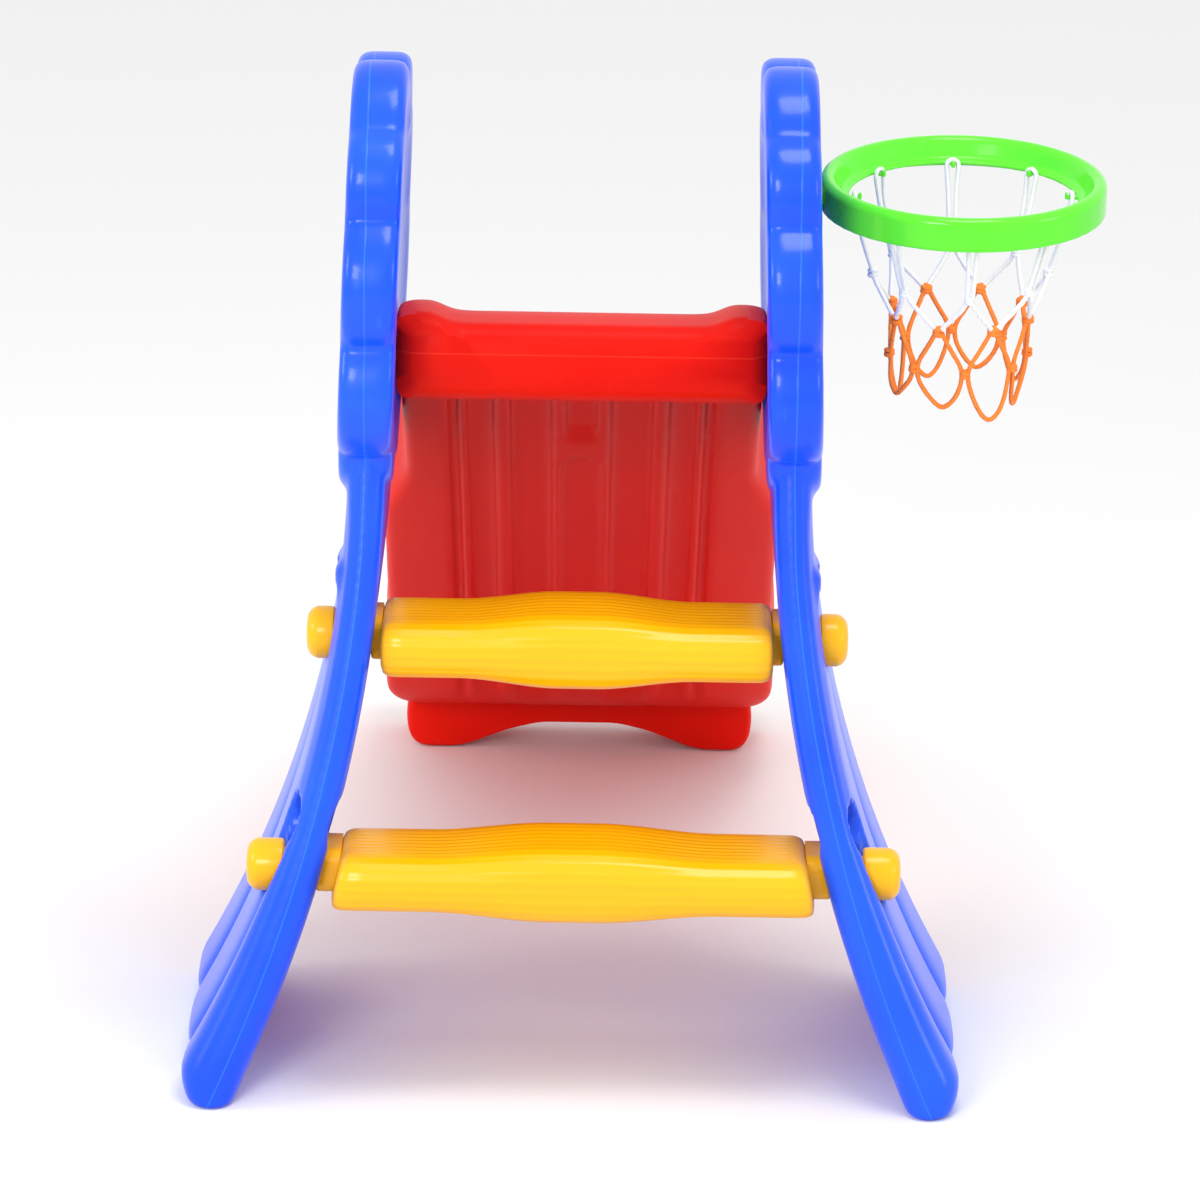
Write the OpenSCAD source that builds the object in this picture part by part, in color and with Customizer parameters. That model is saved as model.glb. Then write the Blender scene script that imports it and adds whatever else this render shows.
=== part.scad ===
// Toddler slide: two tree-shaped side panels, a one-piece chute, two lift-out steps
// and a basketball hoop with a knotted net. Millimetres, +Z up, +Y down the chute,
// +X to the right for a child who climbs the steps.

/* [Side panels] */
// Height of the top of the tree crown
crown_top = 759; // [740:1:780]
// Thickness of the crown, which is also the handrail
crown_thick = 41; // [36:1:44]
// Half the distance between the outer faces at the toes
toe_reach = 290.5; // [285:0.5:296]
// Radius of the flared inner face of the trunk
inner_flare_r = 1100; // [1080:5:1120]
// Radius of the flared outer face of the trunk
outer_flare_r = 915; // [900:5:930]
// Depth of the grooves between the toes
flute_r = 9; // [5:0.5:10]

/* [Chute] */
// Height of the deck at the top of the steps
deck_z = 566; // [560:1:572]
// Slope of the chute, in degrees
slope = 38; // [37:0.5:39]
// Vertical thickness of the chute's double wall
bed_thick = 48; // [44:1:52]
// Height of the side rails above the bed
rail_h = 45; // [38:1:50]

/* [Steps] */
// Depth of a step, front to back
step_depth = 100; // [94:1:102]
// Height of a step at its ends
step_h = 45; // [40:1:46]
// How far a step lifts in its keyholes before its heads can pass out
step_lift = 35; // [33:0.5:35]
// Radius of the domed heads
head_r = 19.7; // [19:0.1:20]
// Radius of the necks in the keyhole slots
neck_r = 13; // [11:0.5:14]

/* [Hoop] */
// Outer radius of the hoop
hoop_r = 106; // [104:0.5:107]
// Height of the hoop's rim above its flange
rim_h = 17; // [15:0.5:18]
// Droop of the hoop towards the steps, in degrees
hoop_tilt = 4.5; // [3:0.5:5]
// How far the hoop lifts in its slot
hoop_lift = 24; // [22:0.5:24]
// Diameter of the net's cord
cord_d = 3.6; // [3:0.1:3.7]

/* [Hidden] */
$fn = 64;
join_z = 476;                      // where the trunk meets the crown
trunk_in = 142.5;                  // inner face of the trunk at join_z
trunk_out = 172;                   // outer face of the trunk at join_z
crown_x = 150;                     // middle of the crown at crown_mid_z
crown_mid_z = 750;
crown_lean = 1.7;                  // degrees, inwards towards the top
flare_fn = 360;
// Lobes of the tree crown: [y, z, radius]
CROWN_LOBES = [[118, 531, 56], [113, 610, 58], [123, 679, 45], [165, crown_top - 59, 59],
               [248, 690, 58], [303, 648, 55], [318, 572, 58], [298, 507, 52],
               [160, 485, 46], [252, 480, 46], [215, 590, 118]];
flute_y = [80, 197];
trunk_back_top = 118;
trunk_front = 300;
hold_y = [106, 114];               // ends of the hand hold: y at its bottom and top
hold_z = [566, 640];
hold_r = 17;
// Steps: [y, z of the axis, half length of the body, end of the shoulder, head seat, end of the head,
// how much shorter the body is along its top]
LOWER = [80, 167, 181, 192, 215, 243.5, 9.5];
UPPER = [140, 330, 145.5, 154, 180.5, 202, 0];
shoulder_depth = 54;
shoulder_y = 15;                    // the shoulder lies this far towards the chute
shoulder_h = 34;
step_bulge = 6;
body_drop = 3;                     // the body's middle lies this far under the neck axis
gap = 0.4;
// Chute bolts: [y, z]
BOLTS = [[168, 538], [232, 524]];
bolt_r = 4;
bolt_head_r = 8;
washer_r = 10;
washer_t = 1.6;
cap_r = 12;
counterbore = 17;
insert_r = 8;
chute_half = 137;                  // half width of the chute between the crowns
crest_r = 110;
crest_y = 178;
runout_r = 260;
runout_end = 3;                    // degrees of slope left at the exit
slope_len = 656;
deck_back = 140;
hoop_c = [280.8, 205, 655];        // centre of the hoop's flange
socket_x = 172.9;
tongue_r = 7;
tongue_head_r = 13;
hook_r = 81;
knot_turn = 3;                     // the first hook, degrees round from +X
sides = 8;

module in_frame() {
    translate(-box_mid) children();
}

// Extrudes an outline drawn in (y, z) along X, from x0 to x1
module along_x(x0, x1) {
    translate([x0, 0, 0]) rotate([90, 0, 90]) linear_extrude(x1 - x0) children();
}

// Extrudes an outline drawn in (x, z) along Y, from y0 to y1
module along_y(y0, y1) {
    translate([0, y1, 0]) rotate([90, 0, 0]) linear_extrude(y1 - y0) children();
}

module rod_x(x0, x1, r, y, z) {
    translate([x0, y, z]) rotate([0, 90, 0]) cylinder(h = x1 - x0, r = r);
}

// ---------- side panels ----------
function trunk_back(z) = trunk_back_top * z / 480;
function trunk_front_y(z) = trunk_front + 12 * z / 480 - 22 * sin(180 * z / 480);

module trunk_outline() {
    polygon(concat([for (z = [0:30:510]) [trunk_back(z), z]],
                   [for (z = [510:-30:0]) [trunk_front_y(z), z]]));
}

module trunk() {
    intersection() {
        along_y(-20, 340) difference() {
            translate([trunk_in + inner_flare_r, join_z])
                circle(r = inner_flare_r, $fn = flare_fn);
            translate([trunk_out + outer_flare_r, join_z])
                circle(r = outer_flare_r, $fn = flare_fn);
        }
        along_x(trunk_in - 2, toe_reach) trunk_outline();
        translate([0, -20, 0]) cube([toe_reach, 380, join_z]);
    }
}

module crown() {
    translate([crown_x, 0, crown_mid_z]) rotate([0, -crown_lean, 0])
        translate([0, 0, -crown_mid_z])
            along_x(-crown_thick / 2, crown_thick / 2)
                for (lobe = CROWN_LOBES) translate([lobe[0], lobe[1]]) circle(r = lobe[2]);
}

module hand_hold() {
    rod_x(100, 200, hold_r, hold_y[0], hold_z[0]);
    rod_x(100, 200, hold_r, hold_y[1], hold_z[1]);
    along_x(100, 200) polygon([[hold_y[0] - hold_r, hold_z[0]], [hold_y[0] + hold_r, hold_z[0]],
                               [hold_y[1] + hold_r, hold_z[1]], [hold_y[1] - hold_r, hold_z[1]]]);
}

// Grooves that run up the outer face from between the toes
module flutes() {
    for (y = flute_y) translate([trunk_out + outer_flare_r, y, join_z]) rotate([90, 0, 0])
        rotate_extrude($fn = flare_fn) translate([outer_flare_r, 0]) circle(r = flute_r);
    for (y = flute_y) translate([toe_reach + 2, y, -1]) cylinder(h = 60, r = flute_r);
}

// Upright pad round a keyhole on the outer face
module keyhole_boss(s) {
    translate([s[4] - 14, s[0] - 28, s[1] - 26]) cube([14, 56, step_lift + 52]);
}

module keyhole(s) {
    slot_half = neck_r + 0.6;
    rod_x(s[3] - 60, s[4] + 60, head_r + 1.3, s[0], s[1] + step_lift);
    rod_x(s[3] - 5, s[4] + 60, neck_r + 0.1, s[0], s[1]);
    translate([s[3] - 5, s[0] - slot_half, s[1]])
        cube([s[4] - s[3] + 65, 2 * slot_half, step_lift]);
    // pocket for the head outside
    rod_x(s[4], s[4] + 60, head_r + 3, s[0], s[1]);
    translate([s[4], s[0] - head_r - 3, s[1]]) cube([60, 2 * head_r + 6, step_lift]);
    // pocket for the shoulder inside
    translate([s[3] + gap - 60, s[0] + shoulder_y - shoulder_depth / 2 - 2,
               s[1] - body_drop - shoulder_h / 2 - 2])
        cube([60, shoulder_depth + 4, shoulder_h + step_lift + 4]);
}

module bolt_bores() {
    for (b = BOLTS) {
        rod_x(120, 190, bolt_r + 0.4, b[0], b[1]);
        rod_x(panel_face(b[1]) - counterbore, 200, cap_r + 0.1, b[0], b[1]);
    }
}

// Outer face of the crown at height z
function panel_face(z) = crown_x + crown_thick / 2 - (z - crown_mid_z) * tan(crown_lean);

module hoop_socket() {
    y = hoop_c[1];
    z = hoop_c[2];
    front = 6;
    slot_half = tongue_r + 0.4;
    rod_x(socket_x - 18, 200, tongue_head_r + 1, y, z + hoop_lift);
    rod_x(socket_x - 18, 200, tongue_r + 0.1, y, z);
    translate([socket_x - 18, y - slot_half, z]) cube([40, 2 * slot_half, hoop_lift]);
    rod_x(socket_x - 18, socket_x - front, tongue_head_r + 1, y, z);
    translate([socket_x - 18, y - tongue_head_r - 1, z])
        cube([18 - front, 2 * tongue_head_r + 2, hoop_lift]);
}

module side_panel(with_socket) {
    difference() {
        union() {
            difference() {
                trunk();
                flutes();
            }
            crown();
            keyhole_boss(UPPER);
        }
        hand_hold();
        keyhole(LOWER);
        keyhole(UPPER);
        bolt_bores();
        if (with_socket) hoop_socket();
    }
}

module right_side_panel() {
    color("dodgerblue") in_frame() side_panel(true);
}

module left_side_panel() {
    color("dodgerblue") in_frame() mirror([1, 0, 0]) side_panel(false);
}

// ---------- chute ----------
crest_end = [crest_y + crest_r * sin(slope), deck_z - crest_r * (1 - cos(slope))];
slope_end = crest_end + slope_len * [cos(slope), -sin(slope)];
runout_c = slope_end + runout_r * [sin(slope), cos(slope)];
exit_end = runout_c - runout_r * [sin(runout_end), cos(runout_end)];
chute_end = exit_end + [32, -2];
// Middle of the whole slide's base, from the middle between the rear toes
box_mid = [(hoop_c[0] + hoop_r - toe_reach) / 2, chute_end[0] / 2, 0];
// Top line of the bed, as [y, z, share of the full rail height]
BED = concat([[deck_back, deck_z, 0.1]],
             [for (t = [0:7.6:slope]) [crest_y + crest_r * sin(t),
                                       deck_z - crest_r * (1 - cos(t)), 0.2 + 0.1 * t / slope]],
             [for (k = [0.15, 0.3, 0.5, 0.8]) [for (i = [0:2])
                 i < 2 ? crest_end[i] + k * (slope_end[i] - crest_end[i]) : min(1, 0.3 + k * 2.4)]],
             [for (t = [slope:-5:runout_end]) [runout_c[0] - runout_r * sin(t),
                                               runout_c[1] - runout_r * cos(t), 1]],
             [[exit_end[0], exit_end[1], 0.7], [chute_end[0], chute_end[1], 0.35]]);

// Part of the chute between x0 and x1: its top is lifted by up to up, its underside raised by under
module chute_strip(x0, x1, up, under) {
    last = len(BED) - 1;
    lip = 57;
    bottom = [for (i = [last:-1:0])
        [BED[i][0], BED[i][1] - (i < 2 ? lip : bed_thick) + (i == 0 ? 0 : under)]];
    along_x(x0, x1) polygon(concat([for (p = BED) [p[0], p[1] + up * p[2] * 1.25]], bottom));
}

module chute_plan() {
    linear_extrude(700) polygon([[-chute_half, 130], [chute_half, 130], [chute_half, 385],
                                 [157, 470], [158, 640], [165, 800], [165, 940], [158, 965],
                                 [-158, 965], [-165, 940], [-165, 800], [-158, 640],
                                 [-157, 470], [-chute_half, 385]]);
}

// The leaning inner faces of the crowns, which the chute's sides lie against
module crown_faces() {
    top = panel_face(720) - crown_thick - 0.2;
    low = panel_face(420) - crown_thick - 0.2;
    for (side = [0, 1]) mirror([side, 0, 0])
        along_y(120, 392) polygon([[low, 420], [top, 720], [200, 720], [200, 420]]);
}

module chute_feet() {
    y0 = 868;
    y1 = 936;
    along_y(y0, y1) polygon([[-141, 0], [-106, 0], [-60, 18], [-32, 24], [32, 24], [60, 18],
                             [106, 0], [141, 0], [158, 27], [165, 46], [165, 70],
                             [-165, 70], [-165, 46], [-158, 27]]);
}

module slide_chute() {
    color("red") in_frame() difference() {
        union() {
            intersection() {
                union() {
                    chute_strip(-170, 170, 0, 12);
                    for (side = [-1, 1]) {
                        chute_strip(min(side * 132, side * 170), max(side * 132, side * 170), rail_h, 0);
                        chute_strip(min(side * 104, side * 133), max(side * 104, side * 133),
                                    rail_h / 4, 0);
                        chute_strip(min(side * 57, side * 70), max(side * 57, side * 70), 0, 0);
                    }
                    chute_strip(-20, 20, 0, 0);
                }
                chute_plan();
            }
            chute_feet();
        }
        crown_faces();
        for (side = [0, 1]) mirror([side, 0, 0]) for (b = BOLTS) {
            rod_x(108, 150, bolt_r + 0.2, b[0], b[1]);
            rod_x(100, chute_half - 12, insert_r + 0.1, b[0], b[1]);
        }
    }
}

// ---------- chute fixings ----------
module both_sides() {
    in_frame() for (side = [0, 1]) mirror([side, 0, 0]) for (b = BOLTS)
        translate([panel_face(b[1]) - counterbore, b[0], b[1]]) rotate([0, 90, 0]) children();
}

module chute_bolts() {
    color("silver") both_sides() {
        translate([0, 0, -46]) cylinder(h = 47, r = bolt_r);
        difference() {
            translate([0, 0, washer_t]) cylinder(h = 6, r = bolt_head_r);
            translate([0, 0, washer_t + 2.5]) cylinder(h = 6, r = 3.5, $fn = 6);
        }
        cylinder(h = washer_t + 1, r = bolt_r);
    }
}

module chute_washers() {
    color("lightgrey") both_sides() difference() {
        cylinder(h = washer_t, r = washer_r);
        translate([0, 0, -1]) cylinder(h = washer_t + 2, r = bolt_r + 0.3);
    }
}

module chute_inserts() {
    color("goldenrod") in_frame() for (side = [0, 1]) mirror([side, 0, 0]) for (b = BOLTS)
        translate([chute_half - 32, b[0], b[1]]) rotate([0, 90, 0]) difference() {
            cylinder(h = 20, r = insert_r);
            translate([0, 0, -1]) cylinder(h = 22, r = bolt_r + 0.05);
        }
}

module bolt_caps() {
    color("royalblue") both_sides() difference() {
        translate([0, 0, washer_t + 6.4]) cylinder(h = counterbore - washer_t - 6.8, r = cap_r - 0.1);
        translate([0, 0, washer_t + 6]) cylinder(h = 6, r = cap_r - 2.5);
    }
}

// ---------- steps ----------
// Outline of a step seen from the back, thicker in the middle
module step_front(half, slant) {
    h = step_h / 2;
    b = h + step_bulge;
    polygon([[-half, -h], [-0.62 * half, -h - 0.15 * step_bulge], [-0.45 * half, -b],
             [0.45 * half, -b], [0.62 * half, -h - 0.15 * step_bulge], [half, -h],
             [half - slant, h], [0.62 * half, h + 0.15 * step_bulge], [0.45 * half, b],
             [-0.45 * half, b], [-0.62 * half, h + 0.15 * step_bulge], [slant - half, h]]);
}

module step_side(depth, height, r) {
    for (sy = [-1, 1], sz = [-1, 1])
        translate([sy * (depth / 2 - r), sz * (height / 2 - r)]) circle(r = r);
    square([depth - 2 * r, height], center = true);
    square([depth, height - 2 * r], center = true);
}

// Domed head on the axis Z, seat at z = 0
module step_head(len) {
    r = 9;
    rotate_extrude() {
        square([head_r, len - r]);
        square([head_r - r, len]);
        translate([head_r - r, len - r]) circle(r = r);
    }
}

module step(s) {
    translate([0, s[0], s[1]]) {
        translate([0, 0, -body_drop]) {
            intersection() {
                along_y(-step_depth, step_depth) step_front(s[2], s[6]);
                along_x(-s[2], s[2]) step_side(step_depth, step_h + 2 * step_bulge, 18);
            }
            translate([0, shoulder_y, 0]) along_x(-s[3], s[3]) step_side(shoulder_depth, shoulder_h, 8);
        }
        for (side = [0, 1]) mirror([side, 0, 0]) {
            rod_x(s[3] - 20, s[4] + 5, neck_r, 0, 0);
            translate([s[4] + gap, 0, 0]) rotate([0, 90, 0]) step_head(s[5] - s[4] - gap);
        }
    }
}

module lower_step() {
    color("gold") in_frame() step(LOWER);
}

module upper_step() {
    color("gold") in_frame() step(UPPER);
}

// ---------- hoop ----------
flange_r = 84.5;
module rim_section() {
    r = 5.5;
    top = [hoop_r - r, rim_h - r];
    polygon(concat([[flange_r, -1.2], [hoop_r - 3, -1.2], [hoop_r - 3, -8], [hoop_r, -8]],
                   [for (a = [0:15:150]) top + r * [cos(a), sin(a)]],
                   [[flange_r + 6, 2.4], [flange_r, 1.2]]));
}

// Finger with an upturned tip, drawn in (x, z)
module hook() {
    tip = hook_r - 5.5;
    along_y(-1.6, 1.6) polygon([[flange_r + 2.5, -1.1], [flange_r + 2.5, 1.1], [tip + 2.4, 1.1],
                                [tip + 2.4, 4.2], [tip, 4.2], [tip, -1.1]]);
}

module hoop_ring() {
    neck_end = hoop_c[0] - hoop_r + 5;
    color("limegreen") in_frame() {
        translate(hoop_c) rotate([hoop_tilt, 0, 0]) {
            rotate_extrude($fn = 96) rim_section();
            for (i = [0:7]) rotate([0, 0, knot_turn + 45 * i]) hook();
        }
        rod_x(socket_x - 13, neck_end, tongue_r, hoop_c[1], hoop_c[2]);
        rod_x(socket_x - 16, socket_x - 8, tongue_head_r, hoop_c[1], hoop_c[2]);
    }
}

// ---------- net ----------
// A point of the net: a degrees round, t along the ring, r out from its middle and z up from the hooks
function net_point(a, t, r, z) =
    let (x = r * cos(a) - t * sin(a), y = r * sin(a) + t * cos(a))
    [hoop_c[0] + x, hoop_c[1] + y * cos(hoop_tilt), hoop_c[2] + z + y * sin(hoop_tilt)];

// One white cord, as [t, r, z]: up from a colour knot, over a hook and down to the next colour knot.
// half is one side of it, from the top of the hook to the end.
WHITE_HALF = [[0, 81, 3.9], [2.5, 81, 3.2], [4.2, 80.9, 1], [4.4, 80.7, -2], [3.9, 79.8, -8],
              [3.2, 78, -18], [2.7, 74.5, -30], [2.4, 70, -44], [2.1, 66.5, -54], [2.4, 65, -59],
              [4.5, 63, -64], [8.5, 59.5, -70], [13, 56, -76], [17, 53, -81], [18.4, 51, -84]];
// One orange cord, as [t, r, z] from its colour knot round to the middle of its bottom loop
ORANGE_HALF = [[2.2, 52, -87.5], [4, 52, -90.5], [7, 51.2, -96], [11, 50, -103], [15, 48.6, -110],
               [17, 47.8, -116], [17, 47.6, -122], [15.4, 47.6, -129], [12, 47.6, -137],
               [7.5, 47.4, -144], [3, 47.2, -148], [0, 47.2, -149]];

function mirrored(half, turn) = [for (i = [len(half) - 1:-1:turn]) [-half[i][0], half[i][1], half[i][2]]];
function whole(half) = concat(mirrored(half, 1), half);
function white_path(k) = [for (p = whole(WHITE_HALF)) net_point(knot_turn + 45 * k, p[0], p[1], p[2])];
function orange_path(k) =
    let (last = len(ORANGE_HALF) - 1,
         loop = concat([for (p = ORANGE_HALF) [-p[0], p[1], p[2]]],
                       [for (i = [last - 1:-1:0]) ORANGE_HALF[i]]))
    [for (p = loop) net_point(knot_turn + 22.5 + 45 * k, p[0], p[1], p[2])];

function unit(v) = v / norm(v);
function tangent(path, i) = unit(path[min(i + 1, len(path) - 1)] - path[max(i - 1, 0)]);

module tube(path, r) {
    rings = len(path);
    points = [for (i = [0:rings - 1])
        let (t = tangent(path, i),
             out = [path[i][0] - hoop_c[0], path[i][1] - hoop_c[1], 0],
             u = unit(cross(t, unit(out))), v = cross(t, u))
        for (s = [0:sides - 1]) path[i] + r * (cos(360 * s / sides) * u + sin(360 * s / sides) * v)];
    walls = [for (i = [0:rings - 2], s = [0:sides - 1])
        [i * sides + s, (i + 1) * sides + s,
         (i + 1) * sides + (s + 1) % sides, i * sides + (s + 1) % sides]];
    polyhedron(points, concat(walls, [[for (s = [sides - 1:-1:0]) (rings - 1) * sides + s]],
                              [[for (s = [0:sides - 1]) s]]));
}

module white_cord(k) {
    color("white") in_frame() tube(white_path(k), cord_d / 2);
}

module orange_cord(k) {
    color("orange") in_frame() tube(orange_path(k), cord_d / 2);
}

module knots(turn, r, z, size) {
    in_frame() for (k = [0:7])
        translate(net_point(knot_turn + turn + 45 * k, 0, r, z)) sphere(r = size, $fn = 24);
}

module net_neck_knots() {
    color("whitesmoke") knots(0, 65.5, -57, 4.6);
}

module net_colour_knots() {
    color("orange") knots(22.5, 53, -86, 5.2);
}

module net_loop_knots() {
    color("darkorange") knots(0, 51.6, -118, 4.6);
}

right_side_panel();
left_side_panel();
slide_chute();
lower_step();
upper_step();
chute_bolts();
chute_washers();
chute_inserts();
bolt_caps();
hoop_ring();
white_cord(0);  // net_white_cord_1
white_cord(1);  // net_white_cord_2
white_cord(2);  // net_white_cord_3
white_cord(3);  // net_white_cord_4
white_cord(4);  // net_white_cord_5
white_cord(5);  // net_white_cord_6
white_cord(6);  // net_white_cord_7
white_cord(7);  // net_white_cord_8
orange_cord(0);  // net_orange_cord_1
orange_cord(1);  // net_orange_cord_2
orange_cord(2);  // net_orange_cord_3
orange_cord(3);  // net_orange_cord_4
orange_cord(4);  // net_orange_cord_5
orange_cord(5);  // net_orange_cord_6
orange_cord(6);  // net_orange_cord_7
orange_cord(7);  // net_orange_cord_8
net_neck_knots();
net_colour_knots();
net_loop_knots();
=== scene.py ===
import math

import bpy
from mathutils import Matrix, Vector


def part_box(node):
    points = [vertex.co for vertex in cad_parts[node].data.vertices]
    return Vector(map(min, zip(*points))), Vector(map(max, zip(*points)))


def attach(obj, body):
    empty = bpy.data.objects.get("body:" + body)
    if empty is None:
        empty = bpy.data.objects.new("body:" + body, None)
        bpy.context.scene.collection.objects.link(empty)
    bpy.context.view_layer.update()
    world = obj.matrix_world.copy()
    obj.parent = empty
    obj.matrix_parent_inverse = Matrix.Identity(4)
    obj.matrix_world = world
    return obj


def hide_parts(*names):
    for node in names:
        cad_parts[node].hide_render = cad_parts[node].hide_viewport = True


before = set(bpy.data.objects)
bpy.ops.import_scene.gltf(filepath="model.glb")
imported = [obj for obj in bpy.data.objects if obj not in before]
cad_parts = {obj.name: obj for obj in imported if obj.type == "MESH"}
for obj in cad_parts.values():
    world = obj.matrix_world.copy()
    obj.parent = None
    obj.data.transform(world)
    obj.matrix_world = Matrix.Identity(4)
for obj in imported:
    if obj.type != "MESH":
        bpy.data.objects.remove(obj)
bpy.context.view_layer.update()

# Shapes are written in millimetres from the middle of the slide's toes: x to the hoop's side,
# y down the chute, z up. The frame's own boxes say where that point is.
MM = 0.001
right_low, right_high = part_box("right_side_panel")
left_low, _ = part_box("left_side_panel")
MIDDLE = Vector(((left_low[0] + right_high[0]) / 2, right_low[1], right_low[2]))
TOE_REACH = (right_high[0] - MIDDLE[0]) / MM
CROWN_TOP = (right_high[2] - MIDDLE[2]) / MM


def at(x, y, z):
    """A place on the slide, in millimetres, as a point of the frame."""
    return MIDDLE + Vector((x, y, z)) * MM


# ------------------------------------------------------------------ camera
CAMERA_PITCH, CAMERA_ROLL = math.radians(17), math.radians(0.95)
CAMERA_ASIDE, CAMERA_UP, CAMERA_BACK = 16.4, 383.7, 4815


def set_camera():
    pitch = CAMERA_PITCH
    ahead = Vector((0, math.cos(pitch), -math.sin(pitch)))
    up = Vector((0, math.sin(pitch), math.cos(pitch)))
    bpy.ops.object.camera_add()
    camera = bpy.context.object
    camera.location = at(CAMERA_ASIDE, 0, 0) + (up * CAMERA_UP - ahead * CAMERA_BACK) * MM
    camera.rotation_euler = (Matrix.Rotation(math.pi / 2 - pitch, 4, "X")
                             @ Matrix.Rotation(CAMERA_ROLL, 4, "Z")).to_euler()
    camera.data.lens = 195
    camera.data.sensor_width = 36
    camera.data.clip_end = 60
    bpy.context.scene.camera = camera


# ------------------------------------------------------------------ modelling helpers
def deselect():
    if bpy.context.object and bpy.context.object.mode != "OBJECT":
        bpy.ops.object.mode_set(mode="OBJECT")
    bpy.ops.object.select_all(action="DESELECT")


def pick(*objects):
    deselect()
    for o in objects:
        o.select_set(True)
    bpy.context.view_layer.objects.active = objects[0]


def face_out(piece):
    """Turns every face of a closed body outwards."""
    pick(piece)
    bpy.ops.object.mode_set(mode="EDIT")
    bpy.ops.mesh.select_all(action="SELECT")
    bpy.ops.mesh.normals_make_consistent(inside=False)
    bpy.ops.object.mode_set(mode="OBJECT")


def place(piece):
    """Puts the piece's place into its mesh and leaves its object at the origin."""
    pick(piece)
    bpy.ops.object.transform_apply(location=True, rotation=True, scale=True)


def apply_modifier(piece, kind, **settings):
    pick(piece)
    modifier = piece.modifiers.new(kind.title(), kind)
    for key, value in settings.items():
        setattr(modifier, key, value)
    bpy.ops.object.modifier_apply(modifier=modifier.name)


def smooth(piece, degrees=None):
    pick(piece)
    if degrees:
        bpy.ops.object.shade_smooth_by_angle(angle=math.radians(degrees))
    else:
        bpy.ops.object.shade_smooth()


def join(name, *pieces):
    pick(*pieces)
    if len(pieces) > 1:
        bpy.ops.object.join()
    pieces[0].name = name
    return pieces[0]


def copy_of(piece, name):
    twin = piece.copy()
    twin.data = piece.data.copy()
    twin.name = name
    bpy.context.collection.objects.link(twin)
    return twin


def cut(piece, cutter):
    apply_modifier(piece, "BOOLEAN", operation="DIFFERENCE", object=cutter, solver="EXACT")
    bpy.data.objects.remove(cutter)


def fuse(piece, voxel, passes):
    """Melts a piece's overlapping bodies into one skin with soft edges, as blow moulding does."""
    apply_modifier(piece, "REMESH", mode="VOXEL", voxel_size=voxel * MM, adaptivity=0)
    if passes:
        apply_modifier(piece, "SMOOTH", factor=0.5, iterations=passes)


def loft(name, rings):
    """A closed body through rings of points: a cylinder is drawn, cut into levels and
    each of its corners is taken to its place."""
    sides, levels = len(rings[0]), len(rings)
    deselect()
    bpy.ops.mesh.primitive_cylinder_add(vertices=sides, radius=1, depth=1, end_fill_type="NGON")
    piece = bpy.context.object
    piece.name = name
    mesh = piece.data
    bpy.ops.object.mode_set(mode="EDIT")
    bpy.ops.mesh.select_all(action="DESELECT")
    bpy.ops.mesh.select_mode(type="EDGE")
    bpy.ops.object.mode_set(mode="OBJECT")
    for edge in mesh.edges:
        a, b = (mesh.vertices[v].co for v in edge.vertices)
        edge.select = abs(a.z - b.z) > 0.5
    bpy.ops.object.mode_set(mode="EDIT")
    if levels > 2:
        bpy.ops.mesh.subdivide(number_cuts=levels - 2)
    bpy.ops.mesh.select_mode(type="VERT")
    bpy.ops.object.mode_set(mode="OBJECT")
    for v in mesh.vertices:
        level = round((v.co.z + 0.5) * (levels - 1))
        turn = round(math.atan2(v.co.y, v.co.x) / math.tau * sides) % sides
        v.co = at(*rings[level][turn])
    face_out(piece)
    return piece


def rod_x(name, x0, x1, r, y, z, sides=48):
    """A round bar along x, drawn from a cylinder."""
    deselect()
    bpy.ops.mesh.primitive_cylinder_add(vertices=sides, radius=r * MM, depth=abs(x1 - x0) * MM,
                                        location=at((x0 + x1) / 2, y, z),
                                        rotation=(0, math.pi / 2, 0))
    bar = bpy.context.object
    bar.name = name
    place(bar)
    return bar


def block(name, low, high):
    deselect()
    size = [(b - a) * MM for a, b in zip(low, high)]
    centre = [(a + b) / 2 for a, b in zip(low, high)]
    bpy.ops.mesh.primitive_cube_add(size=1, location=at(*centre), scale=size)
    body = bpy.context.object
    body.name = name
    place(body)
    return body


# ------------------------------------------------------------------ outlines
def resample(points, count, closed=True):
    """count points at even distances along a line of 2-D or 3-D points."""
    points = [Vector(p) for p in points]
    if closed:
        points.append(points[0])
    walked = [0.0]
    for a, b in zip(points, points[1:]):
        walked.append(walked[-1] + (b - a).length)
    steps = count if closed else count - 1
    out, k = [], 0
    for i in range(count):
        want = walked[-1] * i / steps
        while k < len(points) - 2 and walked[k + 1] < want:
            k += 1
        share = (want - walked[k]) / max(walked[k + 1] - walked[k], 1e-9)
        out.append(points[k].lerp(points[k + 1], min(share, 1)))
    return out


def soften(points, radius, steps=6):
    """Rounds every corner of a closed outline."""
    points = [Vector(p) for p in points]
    out = []
    for i, p in enumerate(points):
        a, b = points[i - 1], points[(i + 1) % len(points)]
        reach_a = min(radius, (a - p).length * 0.49)
        reach_b = min(radius, (b - p).length * 0.49)
        start, end = p + (a - p).normalized() * reach_a, p + (b - p).normalized() * reach_b
        for k in range(steps + 1):
            t = k / steps
            out.append(start * (1 - t) ** 2 + p * 2 * t * (1 - t) + end * t * t)
    return out


def box_outline(width, height, radius):
    w, h = width / 2, height / 2
    return [Vector((w, 0))] + soften([(w, h), (-w, h), (-w, -h), (w, -h)], radius * 1.6, 8)


def ramp(value, start, end):
    t = min(max((value - start) / (end - start), 0), 1)
    return t * t * (3 - 2 * t)


def arc_rise(drop, radius):
    """How far a flared face has moved out this far below the crown."""
    drop = max(drop, 0)
    return radius - math.sqrt(radius * radius - drop * drop)


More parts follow.
